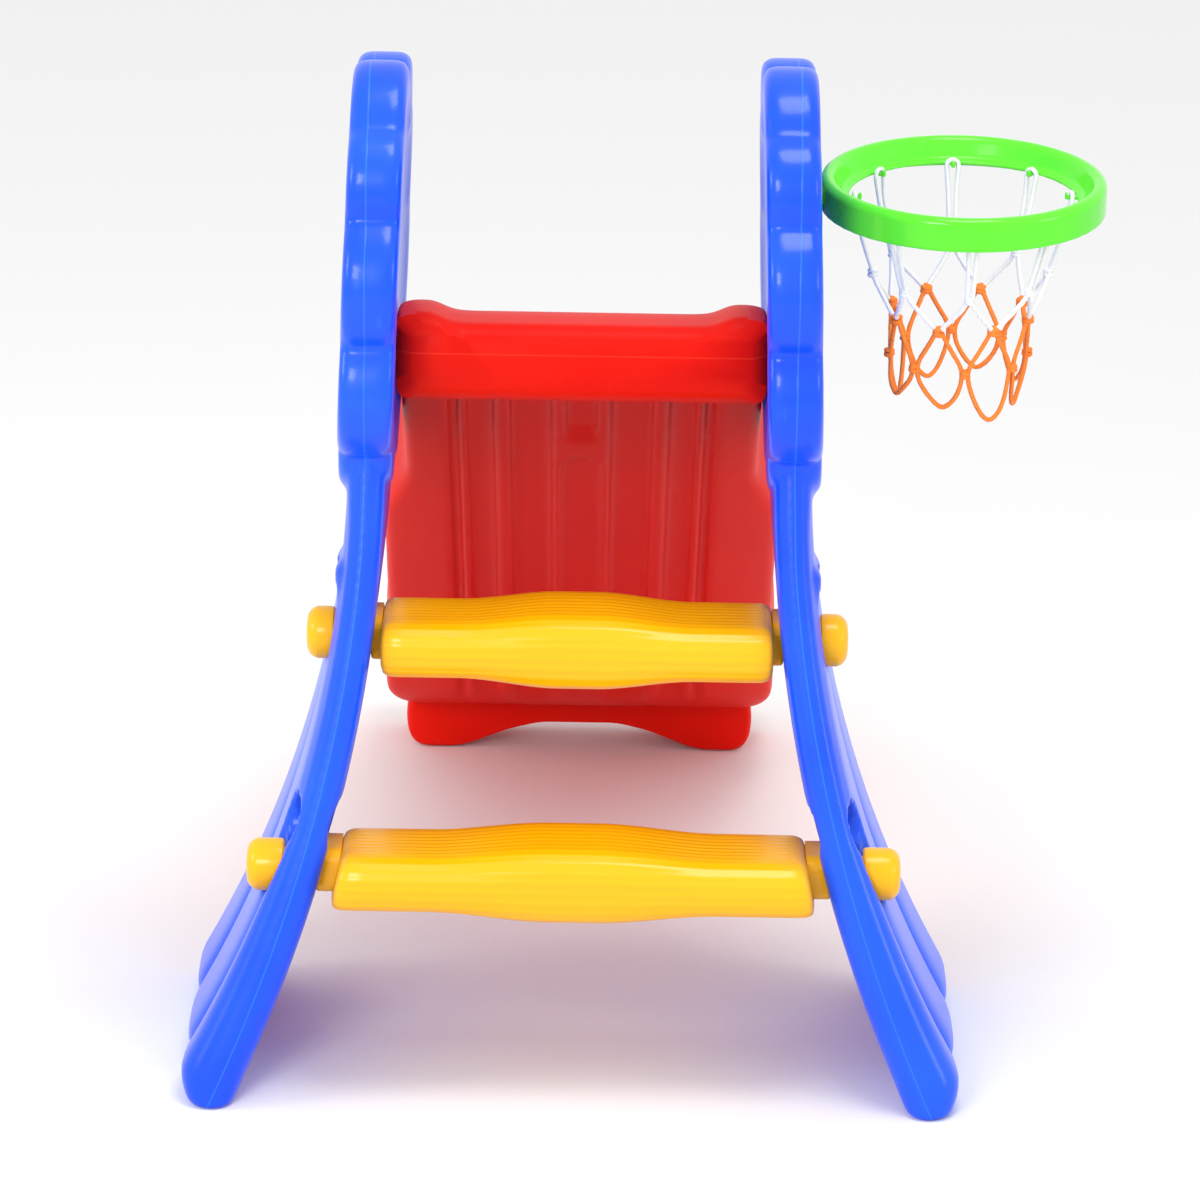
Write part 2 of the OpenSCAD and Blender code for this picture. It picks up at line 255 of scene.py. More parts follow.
def smooth_path(points, step):
    """A smooth line through given points, with a point about every step millimetres."""
    points = [Vector(p) for p in points]
    ends = [points[0] * 2 - points[1]] + points + [points[-1] * 2 - points[-2]]
    line = []
    for a, b, c, d in zip(ends, ends[1:], ends[2:], ends[3:]):
        for k in range(12):
            t = k / 12
            line.append(((b * 2) + (c - a) * t + (a * 2 - b * 5 + c * 4 - d) * t * t
                         + (b * 3 - a - c * 3 + d) * t ** 3) / 2)
    line.append(points[-1])
    length = sum((q - p).length for p, q in zip(line, line[1:]))
    return resample(line, max(int(length / step) + 1, 4), closed=False), length


# ------------------------------------------------------------------ side panels
JOIN_Z = 476                         # where the trunk starts to flare below the crown
CROWN_X, CROWN_MID_Z, CROWN_LEAN = 150, 750, math.tan(math.radians(1.7))
CROWN_THICK = 41
CROWN_EDGE, CROWN_DOME = 9, 3.2      # rounding of the edges, and how far each face is dished
# (y, z, radius) of each round lobe
LOBES = [(118, 531, 56), (113, 610, 58), (123, 679, 45), (165, CROWN_TOP - 59, 59),
         (248, 690, 58), (303, 648, 55), (318, 572, 58), (298, 507, 52),
         (160, 485, 46), (252, 480, 46)]
CROWN_HEART = Vector((215, 596))
FLUTES = (80, 197)                   # where the valleys between the toes start on the floor
TRUNK_IN, INNER_FLARE, TRUNK_OUT, OUTER_FLARE = 142.5, 1100, 172, 915
TRUNK_H, TRUNK_TOP = 480, 508        # the crown's foot, and the trunk's end inside the crown
TRUNK_BACK, TRUNK_FRONT, WAIST = 118, 300, 22
TOE_ROUND, TOE_ROUND_H = 11, 24
VALLEY_W, VALLEY_DEPTH, TOE_DEPTH = 9, 3.5, 9


class Step:
    """Where a step sits: its axis, and where its body, shoulder, head seat and head end."""

    def __init__(self, node, axis_y, axis_z, half, shoulder, seat, slant):
        self.node, self.y, self.z = node, axis_y, axis_z
        self.half, self.shoulder, self.seat, self.slant = half, shoulder, seat, slant
        low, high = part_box(node)
        self.end = (high[0] - low[0]) / 2 / MM
        self.depth = (high[1] - low[1]) / MM
        self.lift = 35


LOWER = Step("lower_step", 80, 167, 181, 192, 215, 9.5)
UPPER = Step("upper_step", 140, 330, 145.5, 154, 180.5, 0)
SHOULDER_DEPTH, SHOULDER_H, SHOULDER_Y = 54, 34, 15
STEP_H, BULGE, DROP, HEAD_R, NECK_R = 45, 6, 3, 19.7, 13
HEAD_ROUND, HEAD_DOME = 11, 10


def crown_middle(z):
    """The panels lean apart a little: how far out the crown's middle is at a height."""
    return CROWN_X + (CROWN_MID_Z - z) * CROWN_LEAN


def crown_reach(direction):
    """How far the scalloped outline is from the crown's heart in a direction."""
    best = 0
    for y, z, r in LOBES:
        away = Vector((y, z)) - CROWN_HEART
        along = away.dot(direction)
        inside = along * along - away.dot(away) + r * r
        if inside > 0:
            best = max(best, along + math.sqrt(inside))
    return best


def crown_body():
    count, edge, rise = 288, CROWN_EDGE, CROWN_DOME
    turns = [Vector((math.cos(math.tau * i / count), math.sin(math.tau * i / count)))
             for i in range(count)]
    reach = [crown_reach(t) for t in turns]
    half = CROWN_THICK / 2
    profile = [(0.02, -half + rise), (0.4, -half + rise), (0.7, -half + rise),
               (0.76, -half + rise * 0.8), (0.8, -half + rise * 0.2), (0.83, -half)]
    profile = [(-share, x) for share, x in profile]
    profile += [(edge * (1 - math.sin(a)), -half + edge * (1 - math.cos(a)))
                for a in [math.radians(t) for t in range(10, 91, 10)]]
    profile += [(0, -half / 4), (0, half / 4)]
    profile += [(p, -x) for p, x in reversed(profile[:-2])]
    rings = []
    for inset, x in profile:
        ring = []
        for t, r in zip(turns, reach):
            out = -inset * r if inset < 0 else r - inset
            y, z = CROWN_HEART + t * out
            ring.append((crown_middle(z) + x, y, z))
        rings.append(ring)
    return loft("crown", rings)


def trunk_ring(z, inset):
    """The trunk's section at a height: soft ends, flat inner face and a fluted outer face."""
    inner = TRUNK_IN + arc_rise(JOIN_Z - z, INNER_FLARE)
    outer = min(TRUNK_OUT + arc_rise(JOIN_Z - z, OUTER_FLARE), TOE_REACH - 0.4)
    outer -= TOE_ROUND * (1 - math.sqrt(1 - (1 - min(z / TOE_ROUND_H, 1)) ** 2))
    up = z / TRUNK_H
    back = TRUNK_BACK * up
    front = TRUNK_FRONT + 12 * up - WAIST * math.sin(math.pi * up)
    width, depth = outer - inner - 2 * inset, front - back - 2 * inset
    toe = 1 - ramp(z, 30, 260)
    ring = []
    grooves = (max(FLUTES[0] - 0.1 * z, back + 10), FLUTES[1] - 0.05 * z)
    for p in resample(box_outline(width, depth, width * 0.3), 208):
        x, y = (inner + outer) / 2 + p.x, (back + front) / 2 + p.y
        if p.x > 0:
            valley = sum(math.exp(-abs(y - g) / VALLEY_W) for g in grooves)
            x -= (VALLEY_DEPTH + TOE_DEPTH * toe) * valley * (1 - ramp(z, 400, 470))
        if p.y < 0:
            x_share = abs(p.x) / (width / 2)
            y += 3 * x_share ** 2
        ring.append((x, y, z))
    return ring


def trunk_body():
    rounded = 5.5
    levels = [(0, 2.4), (0.7, 1.1), (1.8, 0.3), (rounded, 0)]
    levels += [(rounded + (TRUNK_TOP - rounded) * k / 56, 0) for k in range(1, 57)]
    return loft("trunk", [trunk_ring(z, inset) for z, inset in levels])


def keyhole_tool(s):
    """The room that a step's end needs in the panel."""
    top, past = s.z + s.lift, s.seat + 60
    inside, seat = s.shoulder - 5, s.seat - 0.4
    slot, pocket, play = NECK_R + 0.9, HEAD_R + 3.4, 3
    shoulder_low = (s.shoulder - 60, s.y + SHOULDER_Y - SHOULDER_DEPTH / 2 - play,
                    s.z - DROP - SHOULDER_H / 2 - play)
    shoulder_high = (s.shoulder + 0.9, s.y + SHOULDER_Y + SHOULDER_DEPTH / 2 + play,
                     top - DROP + SHOULDER_H / 2 + play)
    parts = [rod_x("entry", s.shoulder - 58, past, HEAD_R + 1.8, s.y, top),
             rod_x("neck", inside, past, slot, s.y, s.z),
             block("slot", (inside, s.y - slot, s.z), (past, s.y + slot, top)),
             rod_x("pocket", seat, past, pocket, s.y, s.z),
             block("pocket_way", (seat, s.y - pocket, s.z), (past, s.y + pocket, top)),
             block("shoulder", shoulder_low, shoulder_high)]
    tool = join("keyhole_tool", *parts)
    fuse(tool, 1.8, 0)
    return tool


HOLD_LOW, HOLD_HIGH, HOLD_R = (106, 566), (114, 640), 17
SOCKET_FACE = 172.9


def hand_hold_tool():
    parts = []
    for k in range(9):
        y, z = (a + (b - a) * k / 8 for a, b in zip(HOLD_LOW, HOLD_HIGH))
        parts.append(rod_x("hold", 100, 200, HOLD_R, y, z))
    tool = join("hand_hold_tool", *parts)
    fuse(tool, 2.2, 3)
    return tool


def socket_tool():
    """The slot for the hoop's tongue, with a wide mouth above it and room for its head."""
    _, y, z = HOOP
    deep, wall, lift = SOCKET_FACE - 19, SOCKET_FACE - 5.6, 24
    slot, mouth, room = 7.8, 14.4, 14.6
    parts = [rod_x("mouth", deep, 200, mouth, y, z + lift),
             rod_x("slot_foot", deep, 200, slot, y, z),
             block("slot", (deep, y - slot, z), (200, y + slot, z + lift)),
             rod_x("room", deep, wall, room, y, z),
             block("room_way", (deep, y - room, z), (wall, y + room, z + lift))]
    tool = join("socket_tool", *parts)
    fuse(tool, 1.6, 0)
    return tool


CAPS, CAP_HOLE_R, CAP_HOLE_DEPTH = [(168, 538), (232, 524)], 12.7, 17


def panel(name, hoop_side):
    """Crown, trunk and the pad round the upper keyhole as one skin, with its openings cut."""
    boss = block("boss", (UPPER.seat - 14, UPPER.y - 28, UPPER.z - 27),
                 (UPPER.seat, UPPER.y + 28, UPPER.z + UPPER.lift + 26))
    apply_modifier(boss, "BEVEL", width=8 * MM, segments=4)
    body = join(name, crown_body(), trunk_body(), boss)
    fuse(body, 2.6, 3)
    for tool in (keyhole_tool(LOWER), keyhole_tool(UPPER), hand_hold_tool()):
        cut(body, tool)
    for y, z in CAPS:
        face = crown_middle(z) + CROWN_THICK / 2
        cut(body, rod_x("cap_recess", face - CAP_HOLE_DEPTH, 200, CAP_HOLE_R, y, z))
    if hoop_side:
        cut(body, socket_tool())
    fuse(body, 2.4, 8)
    return body


def side_panels():
    right = panel("right_side_panel_shell", True)
    left = panel("left_side_panel_shell", False)
    for v in left.data.vertices:
        v.co.x = 2 * MIDDLE.x - v.co.x
    face_out(left)
    for shell, node in ((right, "right_side_panel"), (left, "left_side_panel")):
        smooth(shell)
        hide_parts(node)
        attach(shell, "frame")
        shell.data.materials.append(BLUE)


# ------------------------------------------------------------------ chute
SLOPE = math.radians(38)
DECK_Z, DECK_BACK, CREST_Y, CREST_R = 566, 140, 178, 110
RUNOUT_R, RUNOUT_END, SLOPE_LEN, BED_T, RAIL = 260, math.radians(3), 656, 48, 45
CREST_END = Vector((CREST_Y + CREST_R * math.sin(SLOPE), DECK_Z - CREST_R * (1 - math.cos(SLOPE))))
SLOPE_END = CREST_END + SLOPE_LEN * Vector((math.cos(SLOPE), -math.sin(SLOPE)))
RUNOUT_C = SLOPE_END + RUNOUT_R * Vector((math.sin(SLOPE), math.cos(SLOPE)))
EXIT = RUNOUT_C - RUNOUT_R * Vector((math.sin(RUNOUT_END), math.cos(RUNOUT_END)))
CHUTE_END = EXIT + Vector((32, -2))
DECK_T, LIP_RAIL, LIP_INWARD, FLAT_HALF = 57, 8, 16, 132
RIB_H, SLOT_DEPTH = 10, 7
CHUTE_SLOTS = [(160, 330, 10.7), (365, 730, 14.5)]      # (start, end, half width) underneath


def bed_line():
    points = [Vector((DECK_BACK, DECK_Z)), Vector((CREST_Y, DECK_Z))]
    points += [Vector((CREST_Y + CREST_R * math.sin(SLOPE * k / 10),
                       DECK_Z - CREST_R * (1 - math.cos(SLOPE * k / 10)))) for k in range(1, 11)]
    points += [SLOPE_END]
    for k in range(1, 13):
        a = SLOPE + (RUNOUT_END - SLOPE) * k / 12
        points.append(RUNOUT_C - RUNOUT_R * Vector((math.sin(a), math.cos(a))))
    points.append(CHUTE_END)
    return resample(points, 201, closed=False)


# (distance from the back, half width)
CHUTE_WIDTHS = [(0, 137.4), (385, 137.4), (470, 156.5), (640, 158), (800, 164.6), (925, 164.6),
                (960, 158)]


def chute_half_width(y):
    for (a, wa), (b, wb) in zip(CHUTE_WIDTHS, CHUTE_WIDTHS[1:]):
        if y <= b:
            return wa + (wb - wa) * ramp(y, a, b)
    return CHUTE_WIDTHS[-1][1]


def round_ended(y, start, end, half):
    """Half the width of a round-ended slot at a distance along it."""
    if not start < y < end:
        return 0
    reach = min(y - start, end - y, half)
    return math.sqrt(half ** 2 - (half - reach) ** 2)


def chute_section(y, width):
    """The double wall's outline: (x, height over the bed), rails on top and ribs below."""
    rise = ramp(y, 235, 400)
    rail = LIP_RAIL + (RAIL * 1.25 - LIP_RAIL) * rise
    inward = LIP_INWARD * (1 - rise)
    if y > EXIT.x - 60:
        rail *= 1 - 0.66 * ramp(y, EXIT.x - 60, CHUTE_END.x)
    deep = -(DECK_T - (DECK_T - BED_T) * ramp(y, 165, 260))
    rib = RIB_H * ramp(y, 168, 230) * (1 - ramp(y, 740, 830))
    side = width - FLAT_HALF
    slot_half = sum(round_ended(y, *slot) for slot in CHUTE_SLOTS)
    slot = SLOT_DEPTH * ramp(slot_half, 0, SLOT_DEPTH)
    lobe = 8 + 14 * ramp(y, 770, 850)
    bed_and_rail = [(0, 0), (100 - inward, 0), (110 - inward + side * 0.4, rail * 0.12),
                    (122 - inward + side * 0.7, rail * 0.9), (129 - inward + side * 0.8, rail),
                    (width - 3 - inward * 0.5, rail * 0.97), (width, rail * 0.6)]
    outer_wall = [(width, deep + 6 + lobe), (width - lobe * 0.14, deep + lobe * 0.55),
                  (width - lobe * 0.5, deep + lobe * 0.16), (width - lobe, deep)]
    outer_rib = [(104, deep), (101, deep + rib * 0.7), (96, deep + rib * 0.7), (93.5, deep)]
    middle_rib = [(89, deep), (86, deep + rib * 0.9), (69, deep + rib * 0.9), (66, deep + 0.5)]
    inner_rib = [(56, deep + 0.5), (53, deep + rib), (25, deep + rib), (21, deep)]
    centre = [(slot_half + 2, deep), (slot_half, deep + slot), (0, deep + slot)]
    half = bed_and_rail + outer_wall + outer_rib + middle_rib + inner_rib + centre
    mirror = [(-x, h) for x, h in reversed(half[1:-1])]
    return soften(half + mirror, 7, 5)


CHUTE_ROUND = 12


def chute_body():
    """The double wall along the bed's line, rounded off over its last millimetres at both ends."""
    line = bed_line()
    rings = []
    for p in line:
        outline = resample(chute_section(p.x, chute_half_width(p.x)), 400)
        from_end = min((p - line[0]).length, (p - line[-1]).length)
        shrink = CHUTE_ROUND - math.sqrt(CHUTE_ROUND ** 2 - max(CHUTE_ROUND - from_end, 0) ** 2)
        width = max(q.x for q in outline)
        top, low = max(q.y for q in outline), min(q.y for q in outline)
        centre = (top + low) / 2
        rings.append([(q.x * (1 - shrink / width), p.x,
                       p.y + centre + (q.y - centre) * (1 - 2 * shrink / (top - low)))
                      for q in outline])
    return loft("chute", rings)


# Half the feet's outline from the arch outwards, and (y, inset) along their depth.
FOOT_OUTLINE = [(0, 24), (34, 24), (62, 17), (96, 3), (108, 0), (139, 0), (148, 10), (150, 30),
                (147, 52), (138, 74), (0, 74)]
FOOT_DEPTHS = [(866, 6), (867.5, 3), (871, 0.8), (876, 0), (900, 0), (926, 0), (931, 0.8),
               (934.5, 3), (936, 6)]


def foot_body():
    """The moulded skirt under the exit: two feet with a flat arch between them."""
    mirror = [(-x, z) for x, z in reversed(FOOT_OUTLINE[1:-1])]
    outline = resample(soften(FOOT_OUTLINE + mirror, 9, 6), 240)
    middle = 40
    rings = []
    for y, inset in FOOT_DEPTHS:
        rings.append([(q.x * (1 - inset / 164), y,
                       max(middle + (q.y - middle) * (1 - inset / 60), 0)) for q in outline])
    return loft("feet", rings)


def chute():
    shell, feet = chute_body(), foot_body()
    apply_modifier(shell, "BOOLEAN", operation="UNION", object=feet, solver="EXACT")
    bpy.data.objects.remove(feet)
    shell.name = "slide_chute_shell"
    smooth(shell, 50)
    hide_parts("slide_chute")
    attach(shell, "frame")
    shell.data.materials.append(RED)


# ------------------------------------------------------------------ steps
RING_POINTS, GROOVES, GROOVE_DEPTH = 240, 34, 0.38


def step_ring(s, x, height, depth, radius, lift, groove, shift=0):
    """A rounded box section with fine grooves, pulled in along its top near the body's end."""
    outline = resample(box_outline(depth, height, radius), RING_POINTS)
    ring = []
    short = s.slant * ramp(x, 0.6 * s.half, s.half) if x < s.shoulder - 3 else 0
    for i, p in enumerate(outline):
        out = p.normalized()
        ripple = -groove * (0.5 - 0.5 * math.cos(math.tau * i / RING_POINTS * GROOVES))
        q = p + out * ripple
        ring.append((x - short * (q.y / STEP_H + 0.5), s.y + shift + q.x, s.z + lift + q.y))
    return ring


def step_stations(s):
    """(x, height, depth, corner radius, lift, groove) from the middle out to one end."""
    stations = []
    for k in range(32):
        x = s.half * k / 34
        swell = 1 - ramp(x, 0.1 * s.half, 0.6 * s.half)
        height = STEP_H - 2 + 2 * (BULGE + 0.8) * swell
        stations.append((x, height, s.depth - 0.6, 15, -DROP, GROOVE_DEPTH))
    for x, inset in ((s.half - 8, 1.2), (s.half - 4, 2.2), (s.half - 1.8, 3.6), (s.half - 0.4, 5.8),
                     (s.half, 8)):
        stations.append((x, STEP_H - 2 * inset, s.depth - 2 * inset, 14, -DROP, 0.3))
    for x, inset in ((s.half + 0.05, 0), (s.shoulder - 2, 0), (s.shoulder - 0.5, 1), (s.shoulder, 3)):
        stations.append((x, SHOULDER_H - 2 * inset, SHOULDER_DEPTH - 2 * inset, 8, -DROP, 0,
                         SHOULDER_Y))
    for x, r in ((s.shoulder + 0.2, NECK_R), (s.seat, NECK_R), (s.seat + 0.4, NECK_R),
                 (s.seat + 0.45, HEAD_R - 1.5), (s.seat + 1.5, HEAD_R - 0.3)):
        stations.append((x, 2 * r, 2 * r, r, 0, 0))
    stations.append((s.seat + 4, 2 * HEAD_R, 2 * HEAD_R, HEAD_R, 0, 0))
    for k in range(1, 12):
        a = math.pi / 2 * k / 12
        r = HEAD_R - HEAD_ROUND + HEAD_ROUND * math.cos(a)
        x = max(s.end - HEAD_DOME + HEAD_DOME * math.sin(a), s.seat + 4.5 + k * 0.2)
        stations.append((min(x, s.end - 0.35), 2 * r, 2 * r, r, 0, 0))
    for r in (7, 0.5):
        stations.append((s.end, 2 * r, 2 * r, r, 0, 0))
    return stations


def round_ring(s, x, r):
    turns = [math.tau * i / RING_POINTS for i in range(RING_POINTS)]
    return [(x, s.y + r * math.cos(a), s.z + r * math.sin(a)) for a in turns]


def step(s):
    half = [round_ring(s, st[0], st[1] / 2) if st[3] * 2 == st[1] == st[2]
            else step_ring(s, *st) for st in step_stations(s)]
    left = [[(-x, y, z) for x, y, z in ring] for ring in reversed(half[1:])]
    shell = loft(s.node + "_shell", left + half)
    smooth(shell, 40)
    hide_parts(s.node)
    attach(shell, s.node)
    shell.data.materials.append(YELLOW)


# ------------------------------------------------------------------ hoop
HOOP = (280.8, 205, 655)
HOOP_R, RIM_H, SKIRT, FLANGE_R, HOOK_R = 106, 17, 8, 84.5, 81
RIM_ROUND, FLANGE_HALF = 5.5, 1.3
HOOKS, HOOK_PITCH, FIRST_HOOK = 8, 45, 3        # how many, and their turns in degrees
HOOK_W, HOOK_T, NIB_H = 3.2, 2.4, 5.2
TONGUE_START, TONGUE_R, TONGUE_HEAD, TONGUE_HEAD_R = 159.9, 6.9, (157, 164.8), 12.8
TILT = math.radians(4.5)


def rim_outline(count):
    """The rim's section: a skirt below, a rounded top and a flange inwards."""
    r = RIM_ROUND
    top = [(HOOP_R - r + r * math.cos(math.radians(a)), RIM_H - r + r * math.sin(math.radians(a)))
           for a in range(0, 151, 15)]
    corners = [(FLANGE_R, -FLANGE_HALF), (HOOP_R - 3, -FLANGE_HALF), (HOOP_R - 3, -SKIRT),
               (HOOP_R, -SKIRT)] + top
    corners += [(FLANGE_R + 6, 2.4), (FLANGE_R, FLANGE_HALF)]
    return resample(soften(corners, 1.2, 4), count)


def ring_body():
    """A torus whose small circle is taken to the rim's section."""
    around_rim = 64
    deselect()
    bpy.ops.mesh.primitive_torus_add(major_segments=216, minor_segments=around_rim,
                                     major_radius=1, minor_radius=0.25)
    ring = bpy.context.object
    outline = rim_outline(around_rim)
    for v in ring.data.vertices:
        around = math.atan2(v.co.y, v.co.x)
        small = math.atan2(v.co.z, math.hypot(v.co.x, v.co.y) - 1)
        r, z = outline[round(small / math.tau * around_rim) % around_rim]
        v.co = Vector((r * math.cos(around), r * math.sin(around), z)) * MM
    face_out(ring)
    return ring


def hook_body():
    """A finger that points inwards from the flange and turns up at its tip."""
    tip, root = HOOK_R - 5.5, FLANGE_R + 2.5
    deselect()
    bpy.ops.mesh.primitive_cube_add(size=1, location=((tip + root) / 2 * MM, 0, 0),
                                    scale=((root - tip) * MM, HOOK_W * MM, HOOK_T * MM))
    finger = bpy.context.object
    place(finger)
    deselect()
    bpy.ops.mesh.primitive_cube_add(size=1, location=((tip + HOOK_T / 2) * MM, 0, 1.5 * MM),
                                    scale=(HOOK_T * MM, HOOK_W * MM, NIB_H * MM))
    nib = bpy.context.object
    place(nib)
    return join("hook", finger, nib)


def hoop():
    hook = hook_body()
    parts = [ring_body()]
    for k in range(HOOKS):
        twin = copy_of(hook, f"hook_{k}")
        twin.matrix_world = Matrix.Rotation(math.radians(FIRST_HOOK + HOOK_PITCH * k), 4, "Z")
        place(twin)
        parts.append(twin)
    bpy.data.objects.remove(hook)
    ring = join("hoop_ring_moulding", *parts)
    ring.matrix_world = Matrix.Translation(at(*HOOP)) @ Matrix.Rotation(TILT, 4, "X")
    place(ring)
    neck = rod_x("tongue", TONGUE_START, HOOP[0] - HOOP_R + 5, TONGUE_R, HOOP[1], HOOP[2])
    head = rod_x("tongue_head", *TONGUE_HEAD, TONGUE_HEAD_R, HOOP[1], HOOP[2])
    ring = join("hoop_ring_moulding", ring, neck, head)
    fuse(ring, 0.95, 2)
    smooth(ring)
    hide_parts("hoop_ring")
    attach(ring, "hoop")
    ring.data.materials.append(GREEN)


# ------------------------------------------------------------------ net
CORD_D = 3.6
PLAIT_STEP, PLAIT_LAY = 0.8, 3.6
# Half of each cord's route: (along the ring, out from its axis, height).
WHITE_HALF = [(0, 81, 3.9), (2.5, 81, 3.2), (4.2, 80.9, 1), (4.4, 80.7, -2), (3.9, 79.8, -8),
              (3.2, 78, -18), (2.7, 74.5, -30), (2.4, 70, -44), (2.1, 66.5, -54), (2.4, 65, -59),
              (4.5, 63, -64), (8.5, 59.5, -70), (13, 56, -76), (17, 53, -81), (18.4, 51, -84)]
ORANGE_HALF = [(2.2, 52, -87.5), (4, 52, -90.5), (7, 51.2, -96), (11, 50, -103), (15, 48.6, -110),
               (17, 47.8, -116), (17, 47.6, -122), (15.4, 47.6, -129), (12, 47.6, -137),
               (7.5, 47.4, -144), (3, 47.2, -148), (0, 47.2, -149)]


def net_point(turn, t, r, z):
    """A place in the tilted hoop: t along the ring, r from its axis, z from its flange."""
    a = math.radians(turn)
    x, y = r * math.cos(a) - t * math.sin(a), r * math.sin(a) + t * math.cos(a)
    return Vector((HOOP[0] + x, HOOP[1] + y * math.cos(TILT), HOOP[2] + z + y * math.sin(TILT)))


def braid(name, path, radius):
    """A cord along a path: its surface rises and falls as plaited strands do."""
    line, length = smooth_path(path, PLAIT_STEP)
    segments = max(int(len(line) / 10) * 10, 20)
    line = resample(line, segments + 1, closed=False)
    side = (line[1] - line[0]).cross(Vector((0, 0.3, 1))).normalized()
    rings = []
    for i, p in enumerate(line):
        ahead = (line[min(i + 1, segments)] - line[max(i - 1, 0)]).normalized()
        side = (side - ahead * side.dot(ahead)).normalized()
        other = ahead.cross(side)
        ring = []
        for s in range(12):
            a = math.tau * s / 12
            phase = math.tau * i * length / segments / PLAIT_LAY
            strand = 0.09 * math.cos(3 * a + phase) * math.cos(3 * a - phase)
            r = radius * (0.97 + strand)
            ring.append(tuple(p + (side * math.cos(a) + other * math.sin(a)) * r))
        rings.append(ring)
    return loft(name, rings), line, length


def slack(k, t, r, z):
    """Below its knots each loop hangs a little differently."""
    share = ramp(-z, 121, 149)
    return (t + 4 * share * math.sin(2.4 * k + 1), r + 2.5 * share * math.cos(3.1 * k),
            z + 6 * share * math.sin(1.7 * k + 0.4))


def net_cords():
    """Eight white cords doubled over the hooks, and an orange loop between each pair."""
    white = [(-t, r, z) for t, r, z in reversed(WHITE_HALF[1:])] + WHITE_HALF
    loop = [(-t, r, z) for t, r, z in ORANGE_HALF] + list(reversed(ORANGE_HALF[:-1]))
    for k in range(HOOKS):
        turn = FIRST_HOOK + HOOK_PITCH * k
        path = [net_point(turn, *p) for p in white]
        declare_cord(f"white_cord_{k + 1}", f"net_white_cord_{k + 1}", path, WHITE)
        path = [net_point(turn + HOOK_PITCH / 2, *slack(k, *p)) for p in loop]
        declare_cord(f"orange_cord_{k + 1}", f"net_orange_cord_{k + 1}", path, ORANGE)


def declare_cord(name, node, path, material):
    piece, line, length = braid(name, path, CORD_D / 2)
    smooth(piece, 60)
    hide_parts(node)
    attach(piece, "hoop")
    piece.data.materials.append(material)
    route = [tuple(at(*p)) for p in line[::4] + [line[-1]]]
    round(length * MM, 4)


def knot(name, size):
    """Cord wound twice round and once across, and pulled tight."""
    wraps = []
    for height, lean, roll, radius in ((-0.3, 12, 0, 0.52), (0.32, -14, 40, 0.5),
                                       (0.02, 74, 20, 0.46)):
        deselect()
        bpy.ops.mesh.primitive_torus_add(major_segments=28, minor_segments=12,
                                         major_radius=size * radius * MM,
                                         minor_radius=size * 0.4 * MM)
        wrap = bpy.context.object
        wrap.matrix_world = (Matrix.Translation((0, 0, size * height * MM))
                             @ Matrix.Rotation(math.radians(roll), 4, "Z")
                             @ Matrix.Rotation(math.radians(lean), 4, "X"))
        place(wrap)
        wraps.append(wrap)
    return join(name, *wraps)


def knots(name, node, turn, r, z, size, material):
    """The same knot at every hook's turn, each rolled on a little from the last."""
    first = knot("knot", size)
    tied = []
    for k in range(HOOKS):
        around = FIRST_HOOK + turn + HOOK_PITCH * k
        twin = copy_of(first, f"{name}_{k + 1}")
        twin.matrix_world = (Matrix.Translation(at(*net_point(around, 0, r, z)))
                             @ Matrix.Rotation(math.radians(around + 31 * k), 4, "Z"))
        place(twin)
        tied.append(twin)
    bpy.data.objects.remove(first)
    piece = join(name, *tied)
    smooth(piece)
    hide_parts(node)
    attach(piece, "hoop")
    piece.data.materials.append(material)


def net():
    net_cords()
    knots("neck_knots", "net_neck_knots", 0, 65.5, -57, 4.6, WHITE)
    knots("colour_knots", "net_colour_knots", HOOK_PITCH / 2, 53, -86, 5.2, ORANGE)
    knots("loop_knots", "net_loop_knots", 0, 51.6, -118, 4.6, ORANGE)


# ------------------------------------------------------------------ materials
class Val:
    """A number flowing through a shader; it adds and multiplies like one."""

    def __init__(self, shader, socket):
        self.shader, self.socket = shader, socket

    def maths(self, operation, other=None):
        return self.shader.maths(operation, self, other)

    def __add__(self, other):
        return self.maths("ADD", other)

    def __sub__(self, other):
        return self.maths("SUBTRACT", other)

    def __mul__(self, other):
        return self.maths("MULTIPLY", other)

    def __truediv__(self, other):
        return self.maths("DIVIDE", other)

    def __radd__(self, other):
        return self.maths("ADD", other)

    def __rsub__(self, other):
        return self.shader.maths("SUBTRACT", other, self)


